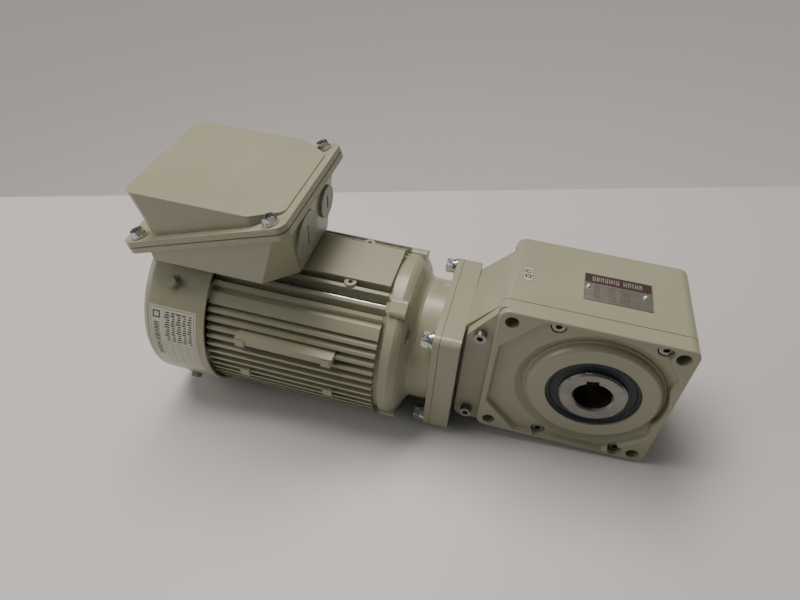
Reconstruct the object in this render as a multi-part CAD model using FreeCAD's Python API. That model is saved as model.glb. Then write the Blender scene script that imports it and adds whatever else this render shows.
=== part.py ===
# Right-angle gearmotor with a hollow output shaft: finned motor, terminal box and a
# hypoid plus spur reducer in a square cast case.
# Frame: origin on the output bore's axis at mid length, Y along the bore, X along the
# motor (away from it), Z up through the terminal box and the case nameplate. Units mm.

import FreeCAD
import Part
import math
import os

os.makedirs("parts", exist_ok=True)

V = FreeCAD.Vector
X = V(1, 0, 0)
Y = V(0, 1, 0)
Z = V(0, 0, 1)

# Gear case
CASE_X0 = -71.4            # left edge of the square face plates
CASE_X1 = 50.0             # free end
CASE_Z = 59.0              # half height
CASE_Y = 41.0              # half depth over the corner pads
EXT_X0 = -89.0             # left end of the extension toward the motor
SEAM_Y = -28.6             # joint of front cover and rear housing
WALL = 5.5
DRAFT = 0.0235             # inward slope of the casting's sides per mm of depth
RECESS = 3.5               # depth of the face recess between the pads
RECESS_SLOPE = 0.5         # lean of its walls per mm of depth
DIP_R = 52.0               # the recess floor dips toward the boss from here
BOSS_R = 41.8              # flat face of the boss
BOSS_ROOT_R = 44.5
BOSS_Y = 40.4
GROOVE_Y = 34.6            # bottom of the dip round the boss
CAVITY_Y = 31.0            # inner face of the rear wall
SEAL_BEAD = 0.4            # gasket between the case halves
BASE_Z = -78.6             # flat underside of motor frame and drive bracket
HOLE_X0 = -62.4            # mounting holes
HOLE_X1 = 41.0
HOLE_Z = 50.5
HOLE_R = 4.5
COVER_SCREWS = [(-34.0, 51.9), (30.5, 51.9), (-26.2, -51.9), (29.2, -51.9)]
COVER_SCREW_SEAT = 9.0     # below the pads
EXT_SCREWS = [(-80.0, 30.0), (-80.0, -49.5)]
EXT_FACE_Y = -36.5
DOWELS = [(-47.0, 56.0), (47.2, -36.0)]

# Output shaft
BORE_R = 12.5
KEY_W = 8.0
KEY_DEPTH = 3.3
KEY_TILT = 13.0            # keyway position at rest, from +Z toward -X
SHAFT_R = 22.5
SHAFT_SEAT_R = 24.0
SHAFT_HALF = 42.4
SEAL_R = 31.0
SEAL_Y0 = 32.0
SEAL_Y1 = 39.0
OUT_BRG_R = 34.0
OUT_BRG_Y0 = 19.5
OUT_BRG_Y1 = 31.5
LIP_GAP = 0.05             # running clearance of seal lips and bearing balls

# Gears
OUT_TEETH = 52
MID_TEETH = 14
MODULE = 1.5
HYPOID_TEETH = 30
PINION_TEETH = 6
MID_X = -48.26
MID_Z = -11.0
OUT_GEAR_Y = (-18.7, -7.2)
MID_GEAR_Y = (-19.2, -6.7)
MID_BRG_R = 14.0
MID_SHAFT_R = 6.0
HYPOID_R1 = 23.5
HYPOID_R0 = 18.5
HYPOID_PHASE = 8.6         # degrees that bring a tooth space over a pinion thread
PINION_R = 7.0
PINION_LEAD = 34.8
PINION_X = (-70.0, -58.0)

# Motor
MOTOR_Z = -23.0
FLANGE_HALF = 47.0
CASE_FLANGE_X = -91.0
JOINT_X = -105.0           # face between case flange and motor flange
MOTOR_FLANGE_X = -109.7
FLANGE_BOLT = 40.5
NECK_R = 46.0
BELL_R = 62.0
FRAME_X1 = -143.0
FRAME_X0 = -266.0
FIN_X0 = -269.9            # the fins reach over the rear bracket to the cowl
FIN_R = 64.5
BODY_R = 54.0
FRAME_BORE_R = 50.0
PAD_Z = 39.5
PAD_Y = 20.5
COWL_R = 68.0
COWL_X1 = -270.0
COWL_X0 = -319.5
COWL_T = 1.5
STACK_X = (-232.0, -162.0)

# Terminal box
BOX_TILT = 19.2            # slope of the parting plane, high at the drive end
BOX_X = -264.2             # parting plane passes here
BOX_Z = 73.6
BOX_FLANGE_U = 63.0
BOX_FLANGE_V = 54.0
BOX_FLANGE_T = 4.0
LID_TOP_Z = 97.0
LID_SCREW_U = 51.5
LID_SCREW_V = 47.0
PLUG_X = -209.0
PLUGS = [(16.0, -14.5, 64.0), (10.2, 23.5, 66.5)]       # radius, y, z
BOX_SCREWS = [(-256.0, -14.0), (-256.0, 14.0), (-218.0, -14.0), (-218.0, 14.0)]
BOX_HOLE_X = -242.0
BLOCK_SCREWS = [(-259.8, 0.0), (-219.0, 0.0)]
STUDS = [-248.75, -234.25]

DRIVE_BEARING = (8.5, 20.0, -126.0, -114.0)             # bore, outside, ends
FAN_BEARING = (7.5, 17.5, -262.0, -251.0)
THROUGH_ANGLES = (60.0, 120.0, -140.0, -40.0)
THROUGH_R = 57.0
COWL_BOLT_ANGLES = (45.0, 135.0, -135.0, -45.0)
COWL_BOLT_X = -296.8
PLATE = (-22.0, 21.5, -13.6, 13.6)                      # nameplate x0, x1, y0, y1
RIVETS = (-18.9, 17.3)


def rounded(points, place):
    """Flat face from (u, v, corner radius) points; place maps (u, v) into space."""
    count = len(points)
    firsts = []
    lasts = []
    edges = []
    for i in range(count):
        u, v, r = points[i]
        p = V(u, v, 0)
        before = V(points[i - 1][0], points[i - 1][1], 0).sub(p)
        after = V(points[(i + 1) % count][0], points[(i + 1) % count][1], 0).sub(p)
        before.normalize()
        after.normalize()
        if r <= 0:
            firsts.append(p)
            lasts.append(p)
            continue
        half = before.getAngle(after) / 2
        middle = before.add(after)
        middle.normalize()
        cut = r / math.tan(half)
        first = p.add(before.multiply(cut))
        last = p.add(after.multiply(cut))
        centre = p.add(V(middle).multiply(r / math.sin(half)))
        mid = centre.sub(V(middle).multiply(r))
        edges.append(Part.Arc(place(first), place(mid), place(last)).toShape())
        firsts.append(first)
        lasts.append(last)
    for i in range(count):
        a = lasts[i]
        b = firsts[(i + 1) % count]
        if a.distanceToPoint(b) > 1e-6:
            edges.append(Part.LineSegment(place(a), place(b)).toShape())
    return Part.Face(Part.Wire(Part.__sortEdges__(edges)))


def slab_y(points, y0, y1):
    """(x, z, r) outline extruded from y0 to y1."""
    return rounded(points, lambda p: V(p.x, y0, p.y)).extrude(V(0, y1 - y0, 0))


def slab_x(points, x0, x1):
    """(y, z, r) outline extruded from x0 to x1."""
    return rounded(points, lambda p: V(x0, p.x, p.y)).extrude(V(x1 - x0, 0, 0))


def slab_z(points, z0, z1):
    """(x, y, r) outline extruded from z0 to z1."""
    return rounded(points, lambda p: V(p.x, p.y, z0)).extrude(V(0, 0, z1 - z0))


def rect(u0, u1, v0, v1, r=0):
    return [(u0, v0, r), (u1, v0, r), (u1, v1, r), (u0, v1, r)]


def box(x0, x1, y0, y1, z0, z1):
    return Part.makeBox(x1 - x0, y1 - y0, z1 - z0, V(x0, y0, z0))


def rod_x(r, x0, x1, y=0.0, z=MOTOR_Z):
    return Part.makeCylinder(r, x1 - x0, V(x0, y, z), X)


def rod_y(r, y0, y1, x=0.0, z=0.0):
    return Part.makeCylinder(r, y1 - y0, V(x, y0, z), Y)


def rod_z(r, z0, z1, x=0.0, y=0.0):
    return Part.makeCylinder(r, z1 - z0, V(x, y, z0), Z)


def turn_x(profile, z=MOTOR_Z):
    """(x, radius) polygon turned about the motor axis."""
    pts = [V(a, 0, z + r) for a, r in profile]
    return Part.Face(Part.makePolygon(pts + [pts[0]])).revolve(V(0, 0, z), X, 360)


def turn_y(profile, x=0.0, z=0.0):
    """(y, radius) polygon turned about an axis along Y."""
    pts = [V(x, a, z + r) for a, r in profile]
    return Part.Face(Part.makePolygon(pts + [pts[0]])).revolve(V(x, 0, z), Y, 360)


def ring_x(r0, r1, x0, x1):
    return rod_x(r1, x0, x1).cut(rod_x(r0, x0, x1))


def hexagon(across, h, p, d):
    """Hexagonal prism from p along d."""
    r = across / math.sqrt(3)
    turns = [math.radians(60 * i) for i in range(7)]
    pts = [V(r * math.cos(a), r * math.sin(a), 0) for a in turns]
    solid = Part.Face(Part.makePolygon(pts)).extrude(V(0, 0, h))
    solid.Placement = FreeCAD.Placement(p, FreeCAD.Rotation(Z, d))
    return solid


def hex_head(across, h, p, d):
    """Bolt head with the corners of its top turned off."""
    r = across / math.sqrt(3)
    cone = Part.makeCone(r + 0.6 * h, r * 0.87, h, p, d)
    return hexagon(across, h, p, d).common(cone)


def save(name, *solids):
    parts = []
    for s in solids:
        parts.extend(s.Solids)
    shape = parts[0] if len(parts) == 1 else Part.makeCompound(parts)
    shape.exportStep("parts/" + name + ".step")


def moved(shape, p, turn=None):
    copy = shape.copy()
    copy.Placement = FreeCAD.Placement(p, turn or FreeCAD.Rotation()).multiply(copy.Placement)
    return copy


# ---------------------------------------------------------------- gears

def involute_gear(teeth, module, y0, y1, x, z, phase, addendum, dedendum, backlash):
    """Straight spur gear about an axis along Y; phase puts a tooth centre at that angle."""
    rp = teeth * module / 2
    rb = rp * math.cos(math.radians(20))
    ra = rp + addendum
    rf = rp - dedendum
    inv20 = math.tan(math.radians(20)) - math.radians(20)
    half_p = math.pi / (2 * teeth) - backlash / (2 * rp)
    edges = []
    first = None
    last = None

    def at(r, a):
        return V(x + r * math.cos(a), y0, z + r * math.sin(a))

    def flank_angle(r):
        if r <= rb:
            return half_p + inv20
        t = math.sqrt((r / rb) ** 2 - 1)
        return half_p + inv20 - (t - math.atan(t))

    start_r = max(rf, rb)
    radii = [start_r + (ra - start_r) * k / 4.0 for k in range(5)]
    for i in range(teeth):
        mid = phase + 2 * math.pi * i / teeth
        low = [at(r, mid - flank_angle(r)) for r in radii]
        high = [at(r, mid + flank_angle(r)) for r in reversed(radii)]
        root_a = at(rf, mid - flank_angle(start_r))
        root_b = at(rf, mid + flank_angle(start_r))
        if last is not None:
            half = mid - math.pi / teeth
            edges.append(Part.Arc(last, at(rf, half), root_a).toShape())
        if rf < rb:
            edges.append(Part.LineSegment(root_a, low[0]).toShape())
        up = Part.BSplineCurve()
        up.interpolate(low)
        edges.append(up.toShape())
        edges.append(Part.Arc(low[-1], at(ra, mid), high[0]).toShape())
        down = Part.BSplineCurve()
        down.interpolate(high)
        edges.append(down.toShape())
        if rf < rb:
            edges.append(Part.LineSegment(high[-1], root_b).toShape())
        first = first or root_a
        last = root_b
    edges.append(Part.Arc(last, at(rf, phase - math.pi / teeth), first).toShape())
    return Part.Face(Part.Wire(edges)).extrude(V(0, y1 - y0, 0))


def pinion_thread():
    """Six-start helical pinion on the motor axis."""
    ra = PINION_R
    rf = 4.7
    tip = math.radians(11)
    root = math.radians(17)
    x0, x1 = PINION_X
    pts = []
    for i in range(PINION_TEETH):
        a = 2 * math.pi * i / PINION_TEETH
        for r, da in ((rf, -root), (ra, -tip), (ra, tip), (rf, root)):
            pts.append(V(r * math.cos(a + da), r * math.sin(a + da), 0))
    outline = Part.makePolygon(pts + [pts[0]])
    spine = Part.makeHelix(PINION_LEAD, x1 - x0, 10.0)
    pipe = Part.BRepOffsetAPI.MakePipeShell(spine)
    pipe.setFrenetMode(True)
    pipe.add(outline, False, False)
    pipe.build()
    faces = pipe.shape().Faces
    top = Part.Face(pipe.lastShape())
    solid = Part.makeSolid(Part.makeShell(faces + [top, Part.Face(outline)]))
    if solid.Volume < 0:
        solid.reverse()
    # local z -> +X, local x -> +Y, local y -> +Z
    turn = FreeCAD.Rotation(Y, Z, X, "XYZ")
    return moved(solid, V(x0, 0, MOTOR_Z), turn)


def hypoid_wheel():
    """Face gear on the cross shaft, teeth toward -Y, meshing beside the pinion."""
    tip_y = PINION_R - 1.7
    root_y = PINION_R + 0.45
    blank = turn_y([(root_y + 6.5, MID_SHAFT_R + 2.5), (root_y + 11.5, MID_SHAFT_R + 2.5),
                    (root_y + 11.5, 13.0), (root_y + 6.5, 15.0), (root_y + 4.5, HYPOID_R1),
                    (tip_y, HYPOID_R1), (tip_y, HYPOID_R0), (root_y + 0.6, HYPOID_R0 - 1.5),
                    (root_y + 0.6, MID_SHAFT_R + 2.5)], MID_X, MID_Z)
    offset = MID_Z - MOTOR_Z
    mean = (HYPOID_R0 + HYPOID_R1) / 2
    dx = -math.sqrt(mean ** 2 - offset ** 2)
    slope = math.atan2(PINION_R * 2 * math.pi / PINION_LEAD * 0.93, 1.0)
    length = 7.5
    wide_top = 1.95
    wide_root = 1.45
    section = [(-wide_top, tip_y - 0.2), (wide_top, tip_y - 0.2), (wide_root, root_y),
               (-wide_root, root_y)]
    along = V(math.cos(slope), 0, math.sin(slope))
    across = V(-math.sin(slope), 0, math.cos(slope))
    base = V(MID_X + dx, 0, MOTOR_Z)
    start = base.sub(V(along).multiply(length))
    pts = [start.add(V(across).multiply(s)).add(V(0, y, 0)) for s, y in section]
    slot = Part.Face(Part.makePolygon(pts + [pts[0]])).extrude(V(along).multiply(2 * length))
    slots = []
    for i in range(HYPOID_TEETH):
        one = slot.copy()
        one.rotate(V(MID_X, 0, MID_Z), Y, 360.0 / HYPOID_TEETH * i + HYPOID_PHASE)
        slots.append(one)
    return blank.cut(slots)


def ball_bearing(r_in, r_out, a0, a1, axis, x=0.0, z=0.0, balls=10):
    """Inner ring, outer ring and ball set of a deep-groove bearing."""
    width = a1 - a0
    pitch = (r_in + r_out) / 2
    ball = (r_out - r_in) * 0.29
    groove = Part.makeTorus(pitch, ball + LIP_GAP / 2)
    inner = Part.makeCylinder(pitch - ball * 0.55, width).cut(Part.makeCylinder(r_in, width))
    outer = Part.makeCylinder(r_out, width).cut(Part.makeCylinder(pitch + ball * 0.55, width))
    mid = V(0, 0, width / 2)
    inner = inner.cut(moved(groove, mid))
    outer = outer.cut(moved(groove, mid))
    spheres = []
    for i in range(balls):
        a = 2 * math.pi * i / balls
        spheres.append(Part.makeSphere(ball, V(pitch * math.cos(a), pitch * math.sin(a), width / 2)))
    where = V(x, a0, z) if axis == Y else V(a0, x, z)
    turn = FreeCAD.Rotation(Z, axis)
    return moved(inner, where, turn), moved(outer, where, turn), [moved(s, where, turn) for s in spheres]


# ---------------------------------------------------------------- gear case

def case_outline(x0, y):
    """Outline of the casting at depth y; it drafts inward from the front face to the back."""
    d = (y + CASE_Y) * DRAFT
    left = x0 if y < 0 else x0 + 0.5
    knee = -72.0 + 1.8 * d
    return [(CASE_X1 - d, CASE_Z - d, 7), (CASE_X1 - d, -CASE_Z + d, 7), (left, -CASE_Z + d, 6),
            (left, 27.0 - 2.2 * d, 4), (knee, 52.0 - 2.6 * d, 4), (knee, CASE_Z - d, 5)]


def drafted(x0, y0, y1):
    wires = [rounded(case_outline(x0, y), lambda p: V(p.x, y, p.y)).OuterWire for y in (y0, y1)]
    return Part.makeLoft(wires, True, True)


def face_plate(y0, y1, edge, shrink):
    """Square plate behind the pads, its outer edge rounded; the outer face is at y1."""
    z = CASE_Z - shrink
    plate = slab_y(rect(CASE_X0 + shrink, CASE_X1 - shrink, -z, z, 7), y0, y1)
    spans = [(e, e.BoundBox) for e in plate.Edges]
    outer = [e for e, b in spans if max(abs(b.YMin - y1), abs(b.YMax - y1)) < 0.01]
    return plate.makeFillet(edge, outer)


def recess(side):
    """Recess between the corner pads, with sloping walls and a floor that dips to the boss."""

    def outline(depth):
        inset = depth * RECESS_SLOPE
        zt = CASE_Z - 2.6 - inset
        xa = CASE_X0 + 4.0 + inset
        xb = CASE_X1 - 4.5 - inset
        pts = [(xa, 27.0, 4), (-43.0, zt, 6), (28.0, zt, 6), (xb, 31.0, 6), (xb, -31.0, 6), (21.0, -zt, 6),
               (-43.0, -zt, 6), (xa, -30.0, 4)]
        return rounded(pts, lambda p: V(p.x, side * (CASE_Y - depth), p.y)).OuterWire

    floor = outline(RECESS)
    walls = Part.makeLoft([outline(-1.0), floor], True, True)
    under = Part.Face(floor).extrude(V(0, -side * 4.0, 0))
    dip = [(GROOVE_Y, SEAL_R), (GROOVE_Y, BOSS_ROOT_R + 2.4), (CASE_Y - RECESS, DIP_R),
           (CASE_Y - RECESS, SEAL_R)]
    collar = [(GROOVE_Y, SEAL_R), (GROOVE_Y, BOSS_ROOT_R + 2.4), (CASE_Y + 3.0, BOSS_ROOT_R + 3.2),
              (CASE_Y + 3.0, SEAL_R)]
    return [walls, turn_y([(side * a, r) for a, r in dip]).common(under),
            turn_y([(side * a, r) for a, r in collar])]


def boss(side):
    """Flat boss with a rounded shoulder and a bead at its root; side is -1 for the front."""
    floor = GROOVE_Y
    pts = [(floor - 1.5, SEAL_R), (floor - 1.5, BOSS_ROOT_R + 1.9), (floor + 0.2, BOSS_ROOT_R + 1.9),
           (floor + 1.1, BOSS_ROOT_R + 1.4), (floor + 1.5, BOSS_ROOT_R + 0.8), (floor + 1.3, BOSS_ROOT_R),
           (BOSS_Y - 2.4, BOSS_ROOT_R - 0.5), (BOSS_Y - 0.8, BOSS_R + 1.0), (BOSS_Y, BOSS_R),
           (BOSS_Y, SEAL_R)]
    return turn_y([(side * a, r) for a, r in pts])


def mounting_holes(y0, y1, r=HOLE_R):
    return [rod_y(r, y0, y1, x, z) for x in (HOLE_X0, HOLE_X1) for z in (HOLE_Z, -HOLE_Z)]


def corner_posts(y0, y1):
    posts = mounting_holes(y0, y1, 9.0)
    posts += [rod_y(5.5, y0, y1, x, z) for x, z in COVER_SCREWS + EXT_SCREWS]
    return posts


def on_top(shape):
    """Lay a shape built on z = 0 onto the drafted top of the case."""
    turn = FreeCAD.Rotation(X, -math.degrees(math.atan(DRAFT)))
    return moved(shape, V(0, 0, CASE_Z - CASE_Y * DRAFT), turn)


def cavity():
    """Space inside the rear housing, clear of the screw posts and bearing seats."""
    inside = slab_y([(CASE_X1 - WALL, CASE_Z - WALL, 4), (CASE_X1 - WALL, -CASE_Z + WALL, 4),
                     (-84.5, -CASE_Z + WALL, 4), (-84.5, 16.5, 3), (-62.0, 45.0, 3),
                     (-62.0, CASE_Z - WALL, 4)], SEAM_Y, CAVITY_Y)
    inside = inside.cut(corner_posts(SEAM_Y, CAVITY_Y))
    return inside.cut([rod_y(38.0, 21.0, CAVITY_Y), rod_y(17.5, 22.0, CAVITY_Y, MID_X, MID_Z)])


def case_body():
    body = drafted(CASE_FLANGE_X - 0.5, SEAM_Y + SEAL_BEAD, CASE_Y - 4.5)
    body = body.fuse([face_plate(CASE_Y - 6.0, CASE_Y, 2.6, 2 * CASE_Y * DRAFT)])
    body = body.cut(recess(1))
    body = body.fuse(boss(1))
    flange = slab_x(rect(-FLANGE_HALF, FLANGE_HALF, MOTOR_Z - FLANGE_HALF, MOTOR_Z + FLANGE_HALF, 6),
                    JOINT_X, CASE_FLANGE_X)
    body = body.cut(cavity())
    body = body.fuse(flange)
    cuts = [rod_y(SEAL_R, OUT_BRG_Y1, 46.0), rod_y(OUT_BRG_R, 19.0, OUT_BRG_Y1 + 0.2),
            rod_y(MID_BRG_R, 20.0, 32.0, MID_X, MID_Z), rod_x(25.0, JOINT_X - 1, -84.0),
            rod_x(38.0, JOINT_X - 1, JOINT_X + 6.2)]
    cuts += mounting_holes(SEAM_Y - 1, CASE_Y + 1)
    cuts += [rod_y(2.1, SEAM_Y - 1, SEAM_Y + 16.0, x, z) for x, z in COVER_SCREWS + EXT_SCREWS]
    for y in (-FLANGE_BOLT, FLANGE_BOLT):
        for z in (-FLANGE_BOLT, FLANGE_BOLT):
            cuts.append(rod_x(2.5, JOINT_X - 1, CASE_FLANGE_X - 1.5, y, MOTOR_Z + z))
    cuts += [rod_y(2.0, SEAM_Y - 1, SEAM_Y + 5.0, x, z) for x, z in DOWELS]
    cuts += [on_top(rod_z(1.25, -4.2, 1, x, 0)) for x in RIVETS]
    return body.cut(cuts)


def cover_body():
    body = drafted(EXT_X0, EXT_FACE_Y, SEAM_Y)
    body = body.fuse([face_plate(EXT_FACE_Y, -CASE_Y, 1.2, 0.0), rod_y(38.0, SEAM_Y, -21.0),
                      rod_y(17.5, SEAM_Y, -23.0, MID_X, MID_Z)])
    body = body.cut(recess(-1))
    body = body.fuse(boss(-1))
    cuts = [rod_y(SEAL_R, -46.0, -OUT_BRG_Y1), rod_y(OUT_BRG_R, -OUT_BRG_Y1 - 0.2, -19.0),
            rod_y(MID_BRG_R, -32.0, -22.0, MID_X, MID_Z)]
    cuts += mounting_holes(-CASE_Y - 1, SEAM_Y + 1)
    for x, z in COVER_SCREWS:
        cuts.append(rod_y(5.0, -CASE_Y - 1, -CASE_Y + COVER_SCREW_SEAT, x, z))
        cuts.append(rod_y(2.75, -CASE_Y, SEAM_Y + 1, x, z))
    cuts += [rod_y(2.75, -CASE_Y, SEAM_Y + 1, x, z) for x, z in EXT_SCREWS]
    cuts += [rod_y(2.0, SEAM_Y - 5.0, SEAM_Y + 1, x, z) for x, z in DOWELS]
    return body.cut(cuts)


def socket_screw(x, z, seat, length):
    """M5 socket-head screw along Y, head toward -Y, seated at y = seat."""
    head = rod_y(4.25, seat - 5.0, seat, x, z)
    head = head.cut(hexagon(4.0, 2.6, V(x, seat - 5.0, z), Y))
    return head.fuse(rod_y(2.1, seat, seat + length, x, z))


def oil_seal(r0, r1, y0, y1):
    """Lip seal about the output axis: outer case, web and inner lip."""
    side = 1 if y0 > 0 else -1
    a, b = (y0, y1) if side > 0 else (-y0, -y1)
    profile = [(a, r1), (b, r1), (b, r1 - 2.4), (b - 0.9, r1 - 3.2), (b - 0.9, r0 + 1.6), (b - 0.2, r0),
               (a + 3.6, r0), (a + 2.4, r0 + 2.2), (a + 3.4, r1 - 2.6), (a, r1 - 1.6)]
    return turn_y([(side * p, r) for p, r in profile])


def case_gasket():
    """Gasket between the two halves, set in from their outline, so that it shows as a fine line."""
    face = rounded(case_outline(EXT_X0, SEAM_Y), lambda p: V(p.x, SEAM_Y, p.y)).makeOffset2D(-0.45)
    body = face.extrude(V(0, SEAL_BEAD, 0)).cut(cavity())
    holes = mounting_holes(SEAM_Y, SEAM_Y + 1, HOLE_R + 0.8)
    holes += [rod_y(2.75, SEAM_Y, SEAM_Y + 1, x, z) for x, z in COVER_SCREWS + EXT_SCREWS]
    holes += [rod_y(2.0, SEAM_Y, SEAM_Y + 1, x, z) for x, z in DOWELS]
    return body.cut(holes)


save("gear_case", case_body())
save("front_cover", cover_body())
save("case_gasket", case_gasket())
screws = [socket_screw(x, z, -CASE_Y + COVER_SCREW_SEAT, 16.0) for x, z in COVER_SCREWS]
screws += [socket_screw(x, z, EXT_FACE_Y, 16.0) for x, z in EXT_SCREWS]
save("cover_screws", *screws)
save("dowel_pins", *[rod_y(2.0, SEAM_Y - 4.8, SEAM_Y + 4.8, x, z) for x, z in DOWELS])
save("oil_seal_front", oil_seal(SHAFT_R + LIP_GAP, SEAL_R, -SEAL_Y0, -SEAL_Y1))
save("oil_seal_rear", oil_seal(SHAFT_R + LIP_GAP, SEAL_R, SEAL_Y0, SEAL_Y1))

# ---------------------------------------------------------------- output shaft and gears

tube = turn_y([(-SHAFT_HALF, BORE_R + 1.2), (-SHAFT_HALF, SHAFT_R - 1.3), (-SHAFT_HALF + 1.3, SHAFT_R),
               (-OUT_BRG_Y0, SHAFT_R), (-OUT_BRG_Y0, SHAFT_SEAT_R), (OUT_BRG_Y0, SHAFT_SEAT_R),
               (OUT_BRG_Y0, SHAFT_R), (SHAFT_HALF - 1.3, SHAFT_R), (SHAFT_HALF, SHAFT_R - 1.3),
               (SHAFT_HALF, BORE_R + 1.2), (SHAFT_HALF - 1.2, BORE_R), (-SHAFT_HALF + 1.2, BORE_R)])
slot = box(-KEY_W / 2, KEY_W / 2, -SHAFT_HALF - 1, SHAFT_HALF + 1, 0, BORE_R + KEY_DEPTH)
slot.rotate(V(0, 0, 0), Y, -KEY_TILT)
gear_key_slot = box(-4.0, 4.0, OUT_GEAR_Y[0], OUT_GEAR_Y[1], -SHAFT_SEAT_R - 3.0, -SHAFT_SEAT_R + 3.0)
tube = tube.cut([slot, gear_key_slot])
save("hollow_shaft", tube)

mesh_angle = math.atan2(MID_Z, MID_X)
wheel = involute_gear(OUT_TEETH, MODULE, OUT_GEAR_Y[0], OUT_GEAR_Y[1], 0, 0, mesh_angle, 1.25, 1.9, 0.16)
web = rod_y(34.0, OUT_GEAR_Y[1] - 3.0, OUT_GEAR_Y[1] + 1).cut(rod_y(28.5, -20.0, 0.0))
wheel = wheel.cut([rod_y(SHAFT_SEAT_R, OUT_GEAR_Y[0], OUT_GEAR_Y[1]), web, gear_key_slot])
save("output_gear", wheel)
save("output_gear_key", gear_key_slot)

spur = involute_gear(MID_TEETH, MODULE, MID_GEAR_Y[0], MID_GEAR_Y[1], MID_X, MID_Z,
                     mesh_angle + math.pi + math.pi / MID_TEETH, 1.15, 1.75, 0.16)
mid_shaft = spur.fuse([rod_y(MID_SHAFT_R, -31.5, -23.0, MID_X, MID_Z),
                       rod_y(7.8, -23.2, 13.9, MID_X, MID_Z),
                       rod_y(MID_SHAFT_R + 2.5, 13.5, 23.0, MID_X, MID_Z),
                       rod_y(MID_SHAFT_R, 22.5, 31.5, MID_X, MID_Z)])
save("intermediate_shaft", mid_shaft)
save("hypoid_gear", hypoid_wheel())

# ---------------------------------------------------------------- rolling bearings


def save_bearings(name, pair):
    save(name + "_inner", *[b[0] for b in pair])
    save(name + "_outer", *[b[1] for b in pair])
    save(name + "_balls", *[ball for b in pair for ball in b[2]])


save_bearings("output_bearing", [ball_bearing(SHAFT_R, OUT_BRG_R, y0, y1, Y, balls=16)
                                 for y0, y1 in ((-OUT_BRG_Y1, -OUT_BRG_Y0), (OUT_BRG_Y0, OUT_BRG_Y1))])
save_bearings("mid_bearing", [ball_bearing(MID_SHAFT_R, MID_BRG_R, y0, y0 + 8.0, Y, MID_X, MID_Z, 8)
                              for y0 in (-32.0, 24.0)])
save_bearings("motor_bearing", [ball_bearing(r0, r1, x0, x1, X, 0, MOTOR_Z, 8)
                                for r0, r1, x0, x1 in (DRIVE_BEARING, FAN_BEARING)])
x0, x1 = FAN_BEARING[2:]
save("wave_washer", ring_x(12.0, 17.0, x0 - 1.5, x0))

# ---------------------------------------------------------------- rotor

rotor = pinion_thread()
rotor = rotor.fuse([rod_x(5.5, -86.0, -70.0), rod_x(DRIVE_BEARING[0], DRIVE_BEARING[2], -84.0),
                    rod_x(10.5, -150.0, DRIVE_BEARING[2]), rod_x(12.0, STACK_X[0], -150.0),
                    rod_x(9.5, FAN_BEARING[3], STACK_X[0]), rod_x(FAN_BEARING[0], -304.0, FAN_BEARING[3])])
flat = box(-304.5, -284.0, -8, 8, MOTOR_Z + 6.0, MOTOR_Z + 9.0)
rotor = rotor.cut([flat, ring_x(6.6, 9.0, -302.6, -301.4)])
save("rotor_shaft", rotor)
save("rotor_core", ring_x(12.0, 30.0, *STACK_X))
ends = []
for x0, x1, step in ((STACK_X[1], STACK_X[1] + 8.0, 7.0), (STACK_X[0] - 8.0, STACK_X[0], -7.0)):
    ring = ring_x(19.0, 29.6, x0, x1)
    a = min(x0, x1) if step < 0 else max(x0, x1)
    for i in range(9):
        lug = box(min(a, a + step), max(a, a + step), 23.0, 27.0, MOTOR_Z - 1.2, MOTOR_Z + 1.2)
        lug.rotate(V(0, 0, MOTOR_Z), X, 40 * i)
        ring = ring.fuse(lug)
    ends.append(ring.removeSplitter())
save("rotor_end_rings", *ends)

# ---------------------------------------------------------------- stator

core = ring_x(30.4, FRAME_BORE_R, *STACK_X)
slots = []
for i in range(24):
    cell = box(STACK_X[0] - 1, STACK_X[1] + 1, 32.0, 41.5, MOTOR_Z - 2.0, MOTOR_Z + 2.0)
    mouth = box(STACK_X[0] - 1, STACK_X[1] + 1, 30.0, 33.0, MOTOR_Z - 0.8, MOTOR_Z + 0.8)
    both = cell.fuse(mouth)
    both.rotate(V(0, 0, MOTOR_Z), X, 15 * i + 7.5)
    slots.append(both)
save("stator_core", core.cut(slots))
coils = []
for i in range(24):
    coil = box(STACK_X[0] - 2, STACK_X[1] + 2, 33.5, 41.0, MOTOR_Z - 1.7, MOTOR_Z + 1.7)
    coil.rotate(V(0, 0, MOTOR_Z), X, 15 * i + 7.5)
    coils.append(coil)
for x0, x1 in ((STACK_X[1] + 1, -146.5), (-248.0, STACK_X[0] - 1)):
    a, b = min(x0, x1), max(x0, x1)
    coils.append(turn_x([(a, 34.0), (a, 45.0), (a + 2.5, 47.0), (b - 2.5, 47.0), (b, 45.0), (b, 34.0)]))
winding = coils[0].fuse(coils[1:])
save("stator_winding", winding)


def sided(side, x0, x1, a, b, z0, z1):
    """Box from y = a to b on the +Y side, or its mirror image for side = -1."""
    return box(x0, x1, min(side * a, side * b), max(side * a, side * b), z0, z1)


def lug(a, x0, x1, w, r0, r1):
    """Radial rounded lug between x0 and x1 at angle a."""
    block = slab_x([(r0, -w, 0), (r1, -w, 3), (r1, w, 3), (r0, w, 0)], x0, x1)
    turn = FreeCAD.Rotation(X, a)
    return moved(block, V(0, 0, MOTOR_Z), turn)


def side_plate(z, t, side):
    return sided(side, FIN_X0, FRAME_X1, 0, 70.0, z - t / 2, z + t / 2)


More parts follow.
